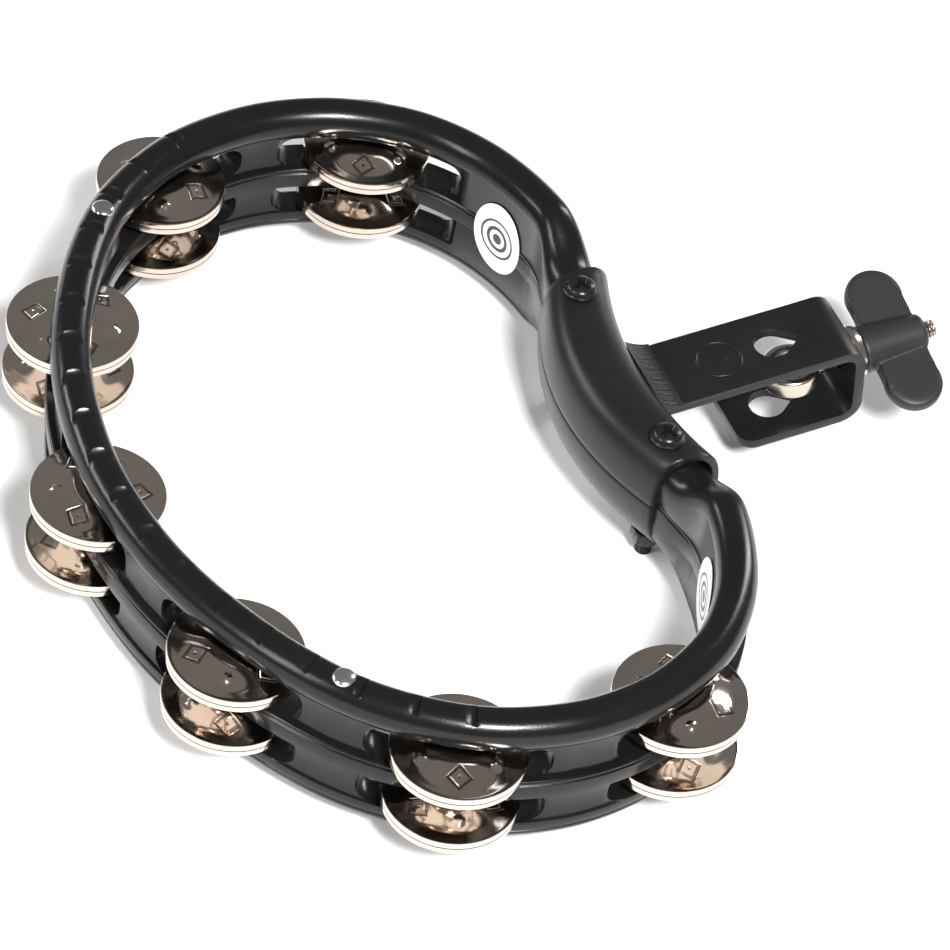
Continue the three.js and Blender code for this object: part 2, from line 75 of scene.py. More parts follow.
class Half(Enum):
    """The two mouldings or shells that meet at the parting plane."""

    UPPER = 1
    LOWER = -1

    @property
    def word(self) -> str:
        """The half's word in node names."""
        return self.name.lower()


class Grain(Enum):
    """The kinds of small surface relief."""

    NONE = "none"
    FINE = "fine"
    LEATHER = "leather"
    BRUSHED = "brushed"


@dataclass(frozen=True)
class Finish:
    """A surface finish, made into one procedural material."""

    name: str
    slot: str
    color: tuple[float, float, float]
    roughness: float
    metallic: float = 0.0
    grain: Grain = Grain.NONE
    grain_size: float = 0.6
    grain_depth: float = 0.02
    wear: float = 0.06
    coat: float = 0.0
    specular: float = 0.5

    def material(self) -> bpy.types.Material:
        """Returns the finish's material, made the first time it is asked for.

        Returns:
            The material.
        """
        known = bpy.data.materials.get(self.name)
        if known:
            return known
        made = bpy.data.materials.new(self.name)
        made.use_nodes = True
        made.diffuse_color = (*self.color, 1)
        nodes, links = made.node_tree.nodes, made.node_tree.links
        shader = nodes["Principled BSDF"]
        shader.inputs["Metallic"].default_value = self.metallic
        shader.inputs["Coat Weight"].default_value = self.coat
        shader.inputs["Coat Roughness"].default_value = 0.12
        shader.inputs["Specular IOR Level"].default_value = self.specular
        place = nodes.new("ShaderNodeTexCoord")
        cloud = nodes.new("ShaderNodeTexNoise")
        cloud.inputs["Scale"].default_value = 55
        cloud.inputs["Detail"].default_value = 4
        links.new(place.outputs["Object"], cloud.inputs["Vector"])
        rough = nodes.new("ShaderNodeMapRange")
        rough.inputs["To Min"].default_value = max(self.roughness - self.wear, 0.02)
        rough.inputs["To Max"].default_value = self.roughness + self.wear
        links.new(cloud.outputs["Fac"], rough.inputs["Value"])
        links.new(rough.outputs["Result"], shader.inputs["Roughness"])
        tone = nodes.new("ShaderNodeMix")
        tone.data_type = "RGBA"
        tone.inputs["A"].default_value = (*(c * 0.8 for c in self.color), 1)
        tone.inputs["B"].default_value = (*(min(c * 1.2, 1) for c in self.color), 1)
        links.new(cloud.outputs["Fac"], tone.inputs["Factor"])
        links.new(tone.outputs["Result"], shader.inputs["Base Color"])
        if self.grain is not Grain.NONE:
            links.new(self._relief(nodes, links, place), shader.inputs["Normal"])
        return made

    def _relief(self, nodes: bpy.types.Nodes, links: bpy.types.NodeLinks,
                place: bpy.types.Node) -> bpy.types.NodeSocket:
        """Adds the grain as a bump.

        Args:
            nodes: the material's nodes.
            links: the material's links.
            place: its texture coordinates.

        Returns:
            The bump's normal.
        """
        bump = nodes.new("ShaderNodeBump")
        bump.inputs["Strength"].default_value = 1
        bump.inputs["Distance"].default_value = self.grain_depth * MM
        if self.grain is Grain.LEATHER:
            pattern = nodes.new("ShaderNodeTexVoronoi")
            pattern.feature = "DISTANCE_TO_EDGE"
            pattern.inputs["Scale"].default_value = 1 / (self.grain_size * MM)
            source = pattern.outputs["Distance"]
        else:
            pattern = nodes.new("ShaderNodeTexNoise")
            pattern.inputs["Scale"].default_value = 1 / (self.grain_size * MM)
            pattern.inputs["Detail"].default_value = 3
            source = pattern.outputs["Fac"]
        vector = place.outputs["Object"]
        if self.grain is Grain.BRUSHED:
            stretch = nodes.new("ShaderNodeMapping")
            stretch.inputs["Scale"].default_value = (0.1, 1, 1)
            links.new(vector, stretch.inputs["Vector"])
            vector = stretch.outputs["Vector"]
        links.new(vector, pattern.inputs["Vector"])
        links.new(source, bump.inputs["Height"])
        return bump.outputs["Normal"]


RING_PLASTIC = Finish("ring_black_plastic", "ring_plastic", (0.006, 0.006, 0.0065), 0.22,
                      grain=Grain.FINE, grain_size=0.5, grain_depth=0.03, specular=0.28)
COVER_PAINT = Finish("cover_satin_black", "cover_paint", (0.008, 0.008, 0.0085), 0.36,
                     grain=Grain.LEATHER, grain_size=0.75, grain_depth=0.03, specular=0.33)
BRACKET_PAINT = Finish("bracket_satin_black", "bracket_paint", (0.007, 0.007, 0.0075), 0.36,
                       grain=Grain.FINE, grain_size=0.4, grain_depth=0.012, specular=0.3)
WELD_PAINT = Finish("weld_black_paint", "bracket_paint", (0.008, 0.008, 0.0085), 0.45,
                    grain=Grain.LEATHER, grain_size=0.7, grain_depth=0.09, specular=0.35)
SCREW_STEEL = Finish("screw_black_steel", "screw_steel", (0.02, 0.02, 0.021), 0.28, metallic=0.6,
                     grain=Grain.FINE, grain_size=0.5, grain_depth=0.008)
JINGLE_NICKEL = Finish("plated_jingle_sheet", "jingle_nickel", (0.66, 0.575, 0.5), 0.12, metallic=1,
                       grain=Grain.FINE, grain_size=6, grain_depth=0.05, wear=0.04)
PIN_STEEL = Finish("plated_pin", "pin_steel", (0.5, 0.49, 0.48), 0.25, metallic=1,
                   grain=Grain.BRUSHED, grain_size=0.3, grain_depth=0.004)
RIVET_NICKEL = Finish("plated_rivet", "rivet_nickel", (0.72, 0.71, 0.69), 0.2, metallic=1,
                      grain=Grain.FINE, grain_size=1.2, grain_depth=0.02)
CLAMP_NICKEL = Finish("plated_clamp_steel", "clamp_nickel", (0.6, 0.53, 0.46), 0.22, metallic=1,
                      grain=Grain.BRUSHED, grain_size=0.4, grain_depth=0.008)
KNOB_PLASTIC = Finish("knob_grained_plastic", "knob_plastic", (0.014, 0.014, 0.015), 0.48,
                      grain=Grain.FINE, grain_size=0.45, grain_depth=0.05, specular=0.4)


class Maker:
    """Shared ways of making a mesh and handing it to the frame."""

    pin = [sum(side) / 2 / MM for side in zip(*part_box("jingle_pin_4"))]

    @classmethod
    def place(cls, x: float, y: float, z: float) -> Vector:
        """Returns a point of the ring's frame, in millimetres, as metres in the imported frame."""
        return Vector((x + cls.pin[0], y + cls.pin[1], z)) * MM

    @staticmethod
    def alone(made: bpy.types.Object) -> bpy.types.Object:
        """Selects only one object and makes it active.

        Args:
            made: the object.

        Returns:
            The same object.
        """
        bpy.ops.object.select_all(action="DESELECT")
        made.select_set(True)
        bpy.context.view_layer.objects.active = made
        return made

    @classmethod
    def formed(cls, name: str, columns: int, rows: int, form: Callable[[float, float], Point],
               arm: bool = False) -> bpy.types.Object:
        """Bends a flat grid into a closed body and welds its seams and poles.

        Args:
            name: the piece's name.
            columns: faces round the body.
            rows: faces along it.
            form: where the grid's point at (across, along), each from 0 to 1, goes, in millimetres.
            arm: True where the form is in the bracket's own tilted frame.

        Returns:
            The piece.
        """
        bpy.ops.object.select_all(action="DESELECT")
        bpy.ops.mesh.primitive_grid_add(x_subdivisions=columns, y_subdivisions=rows, size=2)
        made = bpy.context.active_object
        made.name = name
        made.data.name = name
        for vertex in made.data.vertices:
            across = round((vertex.co.x + 1) / 2 * columns) / columns
            along = round((vertex.co.y + 1) / 2 * rows) / rows
            point = form(across, along)
            vertex.co = Clamp.place(*point) if arm else cls.place(*point)
        bpy.ops.object.mode_set(mode="EDIT")
        bpy.ops.mesh.select_all(action="SELECT")
        bpy.ops.mesh.remove_doubles(threshold=0.002 * MM)
        bpy.ops.mesh.dissolve_degenerate(threshold=0.001 * MM)
        bpy.ops.mesh.normals_make_consistent(inside=False)
        bpy.ops.object.mode_set(mode="OBJECT")
        return made

    @classmethod
    def turned(cls, name: str, profile: Profile, segments: int, centre: Point = (0, 0, 0),
               lying: bool = False, arm: bool = False) -> bpy.types.Object:
        """Turns a profile into a round body.

        Args:
            name: the piece's name.
            profile: (radius, height) points, from the axis to the axis or closed on itself.
            segments: faces round the body.
            centre: the place of the profile's (0, 0).
            lying: True where the axis runs along x.
            arm: True where the place is in the bracket's own tilted frame.

        Returns:
            The piece.
        """
        count = len(profile) - 1

        def form(across: float, along: float) -> Point:
            """Returns the turned place of a point of the grid."""
            radius, height = profile[round(along * count)]
            angle = across * 2 * math.pi
            first, second = radius * math.cos(angle), radius * math.sin(angle)
            spot = (height, first, second) if lying else (first, second, height)
            return tuple(a + b for a, b in zip(centre, spot))

        return cls.formed(name, segments, count, form, arm)

    @classmethod
    def worked(cls, made: bpy.types.Object, kind: str, **settings: object) -> bpy.types.Object:
        """Adds a modifier to a piece and applies it.

        Args:
            made: the piece.
            kind: the modifier's type.
            settings: the modifier's settings.

        Returns:
            The piece.
        """
        cls.alone(made)
        modifier = made.modifiers.new(kind.lower(), kind)
        for setting, value in settings.items():
            setattr(modifier, setting, value)
        bpy.ops.object.modifier_apply(modifier=modifier.name)
        return made

    @classmethod
    def cut(cls, made: bpy.types.Object, tool: bpy.types.Object, operation: str = "DIFFERENCE",
            solver: str = "MANIFOLD") -> bpy.types.Object:
        """Cuts a piece with another, or joins them, and removes the tool.

        Args:
            made: the piece.
            tool: the other body.
            operation: DIFFERENCE, UNION or INTERSECT.
            solver: the boolean solver.

        Returns:
            The piece.
        """
        cls.worked(made, "BOOLEAN", object=tool, operation=operation, solver=solver)
        bpy.data.objects.remove(tool)
        return made

    @classmethod
    def joined(cls, pieces: Sequence[bpy.types.Object], name: str) -> bpy.types.Object:
        """Joins bodies into one object without cutting them.

        Args:
            pieces: the bodies.
            name: the joined object's name.

        Returns:
            The joined object.
        """
        cls.alone(pieces[0])
        for piece in pieces[1:]:
            piece.select_set(True)
        bpy.ops.object.join()
        pieces[0].name = name
        pieces[0].data.name = name
        return pieces[0]

    @classmethod
    def softened(cls, made: bpy.types.Object, width: float, segments: int = 2,
                 angle: float = 34) -> bpy.types.Object:
        """Rounds the sharp edges of a piece.

        Args:
            made: the piece.
            width: the rounding's width in millimetres.
            segments: its steps.
            angle: edges sharper than this many degrees are rounded.

        Returns:
            The piece.
        """
        return cls.worked(made, "BEVEL", width=width * MM, segments=segments, limit_method="ANGLE",
                          angle_limit=math.radians(angle), use_clamp_overlap=True, harden_normals=False)

    @classmethod
    def copied(cls, node: str, name: str) -> bpy.types.Object:
        """Copies a CAD node as one welded body that can be reshaped.

        Args:
            node: the CAD node.
            name: the copy's name.

        Returns:
            The copy.
        """
        made = bpy.data.objects.new(name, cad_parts[node].data.copy())
        made.data.name = name
        made.data.materials.clear()
        bpy.context.collection.objects.link(made)
        cls.alone(made)
        bpy.ops.mesh.customdata_custom_splitnormals_clear()
        bpy.ops.object.mode_set(mode="EDIT")
        bpy.ops.mesh.select_all(action="SELECT")
        bpy.ops.mesh.remove_doubles(threshold=0.002 * MM)
        bpy.ops.mesh.dissolve_limited(angle_limit=math.radians(0.5))
        bpy.ops.object.mode_set(mode="OBJECT")
        return made

    @classmethod
    def finished(cls, made: bpy.types.Object, finish: Finish, body: str = "instrument",
                 stands_for: Iterable[str] = (), smooth: float = 32) -> bpy.types.Object:
        """Gives a piece its finish and its place in the frame.

        Args:
            made: the piece.
            finish: its finish.
            body: the CAD body it rides on.
            stands_for: the CAD nodes it replaces.
            smooth: faces closer than this many degrees are shaded as one surface.

        Returns:
            The piece.
        """
        cls.alone(made)
        bpy.ops.object.shade_smooth_by_angle(angle=math.radians(smooth))
        made.data.materials.clear()
        made.data.materials.append(finish.material())
        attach(made, body)
        for node in stands_for:
            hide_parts(node)
        LOG.info("%s: %d faces", made.name, len(made.data.polygons))
        return made


class RingPath:
    """The ring's closed centre line: a centripetal Catmull-Rom curve through one half and its mirror."""

    half_line = (
        (0, 0), (2.9, 28), (8.2, 47), (15.3, 63.1), (24.6, 79.5), (36.5, 94.6), (50.8, 106.2), (67, 114.4),
        (90, 118.7), (110, 116.4), (124, 110.9), (136.5, 102.6), (148.4, 88.2), (155.8, 71.4), (158.9, 55),
        (157.6, 39.5), (153, 22), (150.2, 0),
    )
    steps = 60

    def __init__(self) -> None:
        """Samples the curve and its length."""
        mirror = [(x, -y) for x, y in reversed(self.half_line[1:-1])]
        knots = [Vector(p) for p in (*self.half_line, *mirror)]
        self.points: list[Vector] = []
        for i in range(len(knots)):
            four = [knots[(i + k) % len(knots)] for k in (-1, 0, 1, 2)]
            self.points += [self._blend(four, s / self.steps) for s in range(self.steps)]
        self.arcs = [0.0]
        for a, b in zip(self.points, self.points[1:] + self.points[:1]):
            self.arcs.append(self.arcs[-1] + (b - a).length)
        self.length = self.arcs[-1]

    @staticmethod
    def _blend(four: Sequence[Vector], share: float) -> Vector:
        """Returns the curve's point between the middle two of four knots.

        Args:
            four: four knots in a row.
            share: how far between the middle two.

        Returns:
            The point.
        """
        t = [0.0]
        for a, b in zip(four, four[1:]):
            t.append(t[-1] + math.sqrt((b - a).length))
        at = t[1] + (t[2] - t[1]) * share

        def between(a: Vector, b: Vector, start: float, end: float) -> Vector:
            """Returns the point between a at start and b at end."""
            return a.lerp(b, (at - start) / (end - start))

        first = [between(four[i], four[i + 1], t[i], t[i + 1]) for i in range(3)]
        second = [between(first[i], first[i + 1], t[i], t[i + 2]) for i in range(2)]
        return between(second[0], second[1], t[1], t[2])

    def at(self, arc: float) -> tuple[Vector, Vector, Vector]:
        """Finds a place on the curve.

        Args:
            arc: the distance along it from the middle station, left side positive.

        Returns:
            The point, the direction along the curve and the direction outwards.
        """
        arc %= self.length
        low, high = 0, len(self.points)
        while high - low > 1:
            middle = (low + high) // 2
            if self.arcs[middle] <= arc:
                low = middle
            else:
                high = middle
        a, b = self.points[low], self.points[(low + 1) % len(self.points)]
        share = (arc - self.arcs[low]) / (self.arcs[low + 1] - self.arcs[low])
        before = self.points[low - 1]
        after = self.points[(low + 2) % len(self.points)]
        along = ((b - before).lerp(after - a, share)).normalized()
        return a.lerp(b, share), along, Vector((-along.y, along.x))


PATH = RingPath()


@dataclass
class Ring:
    """The two ring mouldings, their slots, finger scoops and rivets."""

    bottom: float = 6
    top: float = 50
    rail_radius: float = 5.7
    rail_half: float = 5.6
    panel_half: float = 3.6
    foot_half: float = 4.4
    neck_half: float = 7.3
    neck_top: float = 41.5
    neck_bottom: float = 12.2
    neck_reach: tuple[float, float] = (62, 42)
    shelf_rise: float = 1.4
    wall_inset: float = 0.3
    wall_blend: float = 5
    slot_height: float = 10.6
    slot_half: float = 25
    slot_corner: float = 4.4
    end_slot_extra: float = 4
    end_station: int = 3
    slot_tool_reach: float = 14
    station_pitch: float = 66
    rows: dict[str, float] = field(default_factory=lambda: {"upper": 34.2, "lower": 16.7})
    steps: int = 300
    scoops: int = 9
    scoop_pitch: float = 15
    scoop_size: tuple[float, float, float] = (4.6, 9, 4)
    scoop_depth: float = 1.5
    scoop_lean: float = math.radians(5)
    scoop_back: float = 0.2
    rivet_radius: float = 3.2
    rivet_edge: float = 0.35
    rivet_dome: float = 1.2
    rivet_sink: float = 0.7

    def front(self, arc: float) -> float:
        """Returns the distance from the middle station, on either side."""
        arc %= PATH.length
        return min(arc, PATH.length - arc)

    def neck_share(self, arc: float) -> float:
        """Returns how far the section has turned into the neck's, from 0 to 1."""
        start, end = (PATH.length / 2 - reach for reach in self.neck_reach)
        return self.eased((arc - start) / (end - start))

    @staticmethod
    def eased(share: float) -> float:
        """Returns a share held between 0 and 1, with a soft start and a soft end."""
        held = min(max(share, 0), 1)
        return held * held * (3 - 2 * held)

    @staticmethod
    def mix(a: float, b: float, share: float) -> float:
        """Returns the value between a and b at that share."""
        return a + (b - a) * share

    def open_end(self) -> float:
        """Returns the distance from the middle station at which the last slot ends."""
        return self.end_station * self.station_pitch + self.slot_half + self.end_slot_extra

    def wall_half(self, arc: float) -> float:
        """Returns half the width of the wall between the rails."""
        share = self.eased((arc - self.open_end() - 1) / self.wall_blend)
        wall = self.mix(self.panel_half, self.rail_half - self.wall_inset, share)
        return self.mix(wall, self.neck_half, self.neck_share(arc))

    def upper_section(self, arc: float) -> list[tuple[float, float]]:
        """Returns the upper moulding's section as (outward, height) points.

        Args:
            arc: the distance from the middle station.

        Returns:
            The closed outline, once round.
        """
        share = self.neck_share(arc)
        half = self.wall_half(arc)
        rail = self.mix(self.rail_half, self.neck_half, share)
        radius = self.mix(self.rail_radius, self.neck_half, share)
        centre = self.mix(self.top, self.neck_top, share) - radius
        shelf = PARTING + self.shelf_rise
        low = PARTING + GAP / 2
        right = [
            (rail - 0.5, low), (rail, low + 0.4), (rail, shelf - 0.4), (rail - 0.35, shelf),
            (half, shelf + 0.02),
        ]
        start = math.asin(min(half / radius, 1))
        steps = 22
        arc_points = []
        for i in range(steps + 1):
            angle = math.pi - start - i / steps * 2 * (math.pi - start)
            arc_points.append((radius * math.sin(angle), centre + radius * math.cos(angle)))
        return [*right, *arc_points, *[(-out, z) for out, z in reversed(right)]]

    def lower_section(self, arc: float) -> list[tuple[float, float]]:
        """Returns the lower moulding's section as (outward, height) points.

        Args:
            arc: the distance from the middle station.

        Returns:
            The closed outline, once round.
        """
        share = self.neck_share(arc)
        half, foot, base = self.panel_half, self.foot_half, self.bottom
        if arc > self.open_end() + 2:
            half = self.rail_half - self.wall_inset
        foot_top = self.rows["lower"] - self.slot_height / 2
        rail_bottom = self.rows["lower"] + self.slot_height / 2
        top = PARTING - GAP / 2
        rail = self.rail_half
        open_part = [
            (foot - 1.2, base), (foot - 0.35, base + 0.35), (foot, base + 1.2), (foot, base + 1.9),
            (foot - 0.35, base + 2.1), (foot, base + 2.3), (foot, foot_top - 0.2), (half, foot_top),
            (half, rail_bottom), (rail - 0.35, rail_bottom + 0.02), (rail, rail_bottom + 0.4),
            (rail, top - 0.4), (rail - 0.5, top),
        ]
        low, wide = self.neck_bottom, self.neck_half
        neck = [
            (0.46 * wide, low), (0.62 * wide, low + 0.4), (0.75 * wide, low + 1), (0.83 * wide, low + 1.8),
            (0.88 * wide, low + 2.4), (0.91 * wide, low + 3), (0.94 * wide, low + 4.2),
            (0.97 * wide, low + 5.5), (0.99 * wide, low + 7), (wide, low + 9), (wide, low + 11),
            (wide, top - 0.4), (wide - 0.5, top),
        ]
        right = [(self.mix(a[0], b[0], share), self.mix(a[1], b[1], share)) for a, b in zip(open_part, neck)]
        return [*right, *[(-out, z) for out, z in reversed(right)]]

    def swept(self, name: str, section: Callable[[float], list[tuple[float, float]]]) -> bpy.types.Object:
        """Sweeps a section once round the ring.

        Args:
            name: the piece's name.
            section: gives the outline at a distance from the middle station.

        Returns:
            The piece.
        """
        count = len(section(0))
        outlines = [section(self.front(i / self.steps * PATH.length)) for i in range(self.steps)]
        places = [PATH.at(i / self.steps * PATH.length) for i in range(self.steps)]

        def form(across: float, along: float) -> Point:
            """Returns the swept place of a point of the grid."""
            i = round(across * self.steps) % self.steps
            out, z = outlines[i][round(along * count) % count]
            point, _, outward = places[i]
            spot = point + outward * out
            return spot.x, spot.y, z

        return Maker.formed(name, self.steps, count, form)

    def slot_tool(self, station: int, height: float) -> bpy.types.Object:
        """Makes the body of one slot.

        Args:
            station: the station's number from the middle, from -3 to 3.
            height: the slot's middle height.

        Returns:
            The tool.
        """
        extra = self.end_slot_extra if abs(station) == self.end_station else 0
        shift = math.copysign(extra / 2, station)
        point, along, outward = PATH.at(station * self.station_pitch + shift)
        reach, half, corner = self.slot_half + extra / 2, self.slot_height / 2, self.slot_corner
        outline = []
        for quarter, (a, b) in enumerate(((1, -1), (1, 1), (-1, 1), (-1, -1))):
            for i in range(9):
                angle = (quarter - 1 + i / 8) * math.pi / 2
                x = a * (reach - corner) + corner * math.cos(angle)
                z = b * (half - corner) + corner * math.sin(angle)
                outline.append((x, z))
        count = len(outline)

        def form(across: float, along_tool: float) -> Point:
            """Returns a place on the slot's wall, with its two ends drawn to their middles."""
            row = round(along_tool * 3)
            x, z = outline[round(across * count) % count] if row in (1, 2) else (0, 0)
            spot = point + along * x + outward * (self.slot_tool_reach * (-1 if row < 2 else 1))
            return spot.x, spot.y, height + z

        return Maker.formed("slot_tool", count, 3, form)

    def scoop_tool(self, arc: float) -> bpy.types.Object:
        """Makes the half ball that presses one D-shaped finger scoop into the rail's top.

        Args:
            arc: its place along the ring.

        Returns:
            The tool.
        """
        point, along, outward = PATH.at(arc)
        forward = Vector((*along, 0))
        normal = Vector((*(outward * math.sin(self.scoop_lean)), math.cos(self.scoop_lean)))
        across = normal.cross(forward)
        length, width, height = self.scoop_size
        rail_middle = Vector((*point, self.top - self.rail_radius))
        middle = rail_middle + normal * (self.rail_radius + height - self.scoop_depth)

        def form(around: float, fall: float) -> Point:
            """Returns a place on the flattened ball, cut off straight on its near side."""
            angle, down = around * 2 * math.pi, fall * math.pi
            ahead = max(length * math.sin(down) * math.cos(angle), -self.scoop_back * math.sin(down))
            side = width * math.sin(down) * math.sin(angle)
            return tuple(middle + forward * ahead + across * side - normal * height * math.cos(down))

        return Maker.formed("scoop_tool", 48, 24, form)

    def build_rings(self) -> None:
        """Makes both mouldings with their slots and scoops."""
        for half, section in ((Half.UPPER, self.upper_section), (Half.LOWER, self.lower_section)):
            made = self.swept(f"{half.word}_ring_moulding", section)
            stations = range(-self.end_station, self.end_station + 1)
            tools = [self.slot_tool(station, self.rows[half.word]) for station in stations]
            Maker.cut(made, Maker.joined(tools, "slot_tools"))
            if half is Half.UPPER:
                scoops = [self.scoop_tool(i * self.scoop_pitch) for i in range(-self.scoops, self.scoops + 1)]
                Maker.cut(made, Maker.joined(scoops, "scoop_tools"))
            Maker.softened(made, 0.45, 2, 40)
            Maker.finished(made, RING_PLASTIC, stands_for=[f"ring_{half.word}_moulding"], smooth=38)

    def build_rivets(self) -> None:
        """Makes the two domed rivets."""
        for side in Side:
            point = PATH.at(side.value * 1.5 * self.station_pitch)[0]
            seat, radius = self.top - self.rivet_sink, self.rivet_radius
            profile = [(0, seat), (radius, seat), (radius, seat + self.rivet_edge)]
            for i in range(1, 9):
                angle = i / 8 * math.pi / 2
                height = seat + self.rivet_edge + self.rivet_dome * math.sin(angle)
                profile.append((radius * math.cos(angle), height))
            head = Maker.turned(f"ring_rivet_head_{side.word}", profile, 40, (point.x, point.y, 0))
            Maker.finished(head, RIVET_NICKEL, stands_for=[f"ring_rivet_{side.word}"])


@dataclass
class Jingles:
    """The loose discs, in pairs, and the pins they sit on."""

    ring: Ring
    radius: float = 18.5
    hole: float = 1.85
    sheet: float = 0.55
    lip: float = 1.8
    dome: float = 2.2
    dome_foot: float = 15.2
    dome_brow: float = 6.4
    segments: int = 96
    marks: int = 3
    mark_circle: float = 11.2
    mark_size: float = 3.1
    line_width: float = 0.7
    dimple_circle: float = 11.6
    dimple_radius: float = 1.9
    dimple_rise: float = 0.8
    stamp_depth: float = 0.3
    pin_radius: float = 1
    pin_ends: tuple[float, float] = (9, 45.3)
    pin_chamfer: float = 0.3
    turn_steps: tuple[float, float, float] = (47, 71, 33)

    def profile(self) -> list[tuple[float, float]]:
        """Returns the disc's outline above the pair's middle plane, from its hole round and back.

        Returns:
            (radius, height) points, closed on themselves.
        """
        rim = GAP / 2 + self.lip
        edge, hem = self.radius, self.radius - self.sheet
        face = [(edge, GAP / 2), (edge, rim - 0.3), (edge - 0.1, rim - 0.08), (edge - 0.35, rim)]
        steps = 24
        for i in range(steps + 1):
            radius = edge - 0.9 - (edge - 3.2) * i / steps
            rise = min(max((self.dome_foot - radius) / (self.dome_foot - self.dome_brow), 0), 1)
            face.append((radius, rim - 0.1 + self.dome * rise * rise * (3 - 2 * rise)))
        face.append((self.hole, rim - 0.1 + self.dome))
        inside = [(r, z - self.sheet) for r, z in reversed(face[4:])]
        inside = [(self.hole, inside[0][1] + 0.1), *inside[1:]]
        return [*face, *inside, (hem, rim - self.sheet), (hem, GAP / 2), face[0]]

    def pressed(self, x: float, y: float, radius: float) -> float:
        """Returns how far the sheet is pressed up at a place.

        Args:
            x: the place's x from the disc's middle.
            y: its y.
            radius: its distance from the middle.

        Returns:
            The height in millimetres.
        """
        if radius > self.dome_foot or radius < self.hole + 1:
            return 0
        rise = 0.0
        for i in range(self.marks):
            angle = (i + 0.5) * 2 * math.pi / self.marks
            middle = self.dimple_circle
            away = math.hypot(x - middle * math.cos(angle), y - middle * math.sin(angle)) / self.dimple_radius
            rise += self.dimple_rise * max(1 - away * away, 0) ** 1.5
        return rise

    def disc(self, name: str, point: Vector, height: float, up: int, turn: float) -> bpy.types.Object:
        """Makes one disc with its pressed dimples and its map of the stamped marks.

        Args:
            name: the piece's name.
            point: the pin's place.
            height: the pair's middle height.
            up: 1 for the upper disc of the pair, -1 for the lower.
            turn: how far the disc is turned on its pin, in radians.

        Returns:
            The disc.
        """
        profile = self.profile()
        count = len(profile) - 1

        def form(across: float, along: float) -> Point:
            """Returns the turned and pressed place of a point of the grid."""
            radius, z = profile[round(along * count) % count]
            angle = across * 2 * math.pi
            x, y = radius * math.cos(angle), radius * math.sin(angle)
            z += self.pressed(x, y, radius)
            bearing = angle * up + turn
            return point.x + radius * math.cos(bearing), point.y + radius * math.sin(bearing), height + z * up

        made = Maker.formed(name, self.segments, count, form)
        self._map_face(made, point, up, turn)
        return made

    def _map_face(self, made: bpy.types.Object, point: Vector, up: int, turn: float) -> None:
        """Lays the disc's face flat in its UV map, its middle at (0, 0), in millimetres.

        Args:
            made: the disc.
            point: the pin's place.
            up: which way its face looks.
            turn: how far the disc is turned on its pin.
        """
        layer = made.data.uv_layers.active or made.data.uv_layers.new(name="face")
        middle = Maker.place(point.x, point.y, 0)
        for loop in made.data.loops:
            away = (made.data.vertices[loop.vertex_index].co - middle) / MM
            bearing = (math.atan2(away.y, away.x) - turn) * up
            reach = math.hypot(away.x, away.y)
            layer.data[loop.index].uv = (reach * math.cos(bearing), reach * math.sin(bearing))

    def nickel(self) -> bpy.types.Material:
        """Returns the plated finish with the stamped marks added as relief and as painted shade in their
        grooves.

        Returns:
            The material.
        """
        made = JINGLE_NICKEL.material()
        if made.node_tree.nodes.get("stamp"):
            return made
        nodes, links = made.node_tree.nodes, made.node_tree.links
        shader = nodes["Principled BSDF"]

        def maths(operation: str, *values: object) -> bpy.types.NodeSocket:
            """Adds a maths node and returns its result."""
            node = nodes.new("ShaderNodeMath")
            node.operation = operation
            for socket, value in zip(node.inputs, values):
                if isinstance(value, (int, float)):
                    socket.default_value = value
                else:
                    links.new(value, socket)
            return node.outputs[0]

        spread = nodes.new("ShaderNodeUVMap")
        parts = nodes.new("ShaderNodeSeparateXYZ")
        links.new(spread.outputs["UV"], parts.inputs["Vector"])
        x, y = parts.outputs["X"], parts.outputs["Y"]
        reach = maths("SQRT", maths("ADD", maths("MULTIPLY", x, x), maths("MULTIPLY", y, y)))
        third = 2 * math.pi / self.marks
        bearing = maths("ARCTAN2", y, x)
        turned = maths("FLOORED_MODULO", maths("ADD", bearing, third / 2), third)
        folded = maths("SUBTRACT", turned, third / 2)
        side = maths("MULTIPLY", reach, maths("SINE", folded))
        out = maths("SUBTRACT", maths("MULTIPLY", reach, maths("COSINE", folded)), self.mark_circle)
        across = maths("ABSOLUTE", side)

        def line(distance: bpy.types.NodeSocket) -> bpy.types.NodeSocket:
            """Turns a distance from a stamped line into its soft-edged groove, from 0 to 1."""
            groove = nodes.new("ShaderNodeMapRange")
            groove.interpolation_type = "SMOOTHSTEP"
            groove.inputs["From Min"].default_value = self.line_width / 2 + 0.15
            groove.inputs["From Max"].default_value = self.line_width / 2 - 0.15
            links.new(maths("ABSOLUTE", distance), groove.inputs["Value"])
            return groove.outputs["Result"]

        lozenge = maths("SUBTRACT", maths("ADD", across, maths("ABSOLUTE", out)), self.mark_size)
        dot = maths("SQRT", maths("ADD", maths("MULTIPLY", across, across), maths("MULTIPLY", out, out)))
        stamp = maths("MAXIMUM", line(maths("MULTIPLY", lozenge, math.sqrt(0.5))), line(dot))
        height = maths("MULTIPLY", stamp, -1)
        # Painted shade: the stamped grooves are darkened by multiplying the base colour with a dark brown
        # along the groove mask.
        shade = nodes.new("ShaderNodeMix")
        shade.data_type = "RGBA"
        shade.blend_type = "MULTIPLY"
        shade.inputs["B"].default_value = (0.3, 0.26, 0.22, 1)
        links.new(maths("MULTIPLY", stamp, 0.75), shade.inputs["Factor"])
        colour = shader.inputs["Base Color"]
        links.new(colour.links[0].from_socket, shade.inputs["A"])
        links.new(shade.outputs["Result"], colour)
        bump = nodes.new("ShaderNodeBump")
        bump.name = "stamp"
        bump.inputs["Strength"].default_value = 1
        bump.inputs["Distance"].default_value = self.stamp_depth * MM
        links.new(height, bump.inputs["Height"])
        links.new(shader.inputs["Normal"].links[0].from_socket, bump.inputs["Normal"])
        links.new(bump.outputs["Normal"], shader.inputs["Normal"])
        return made

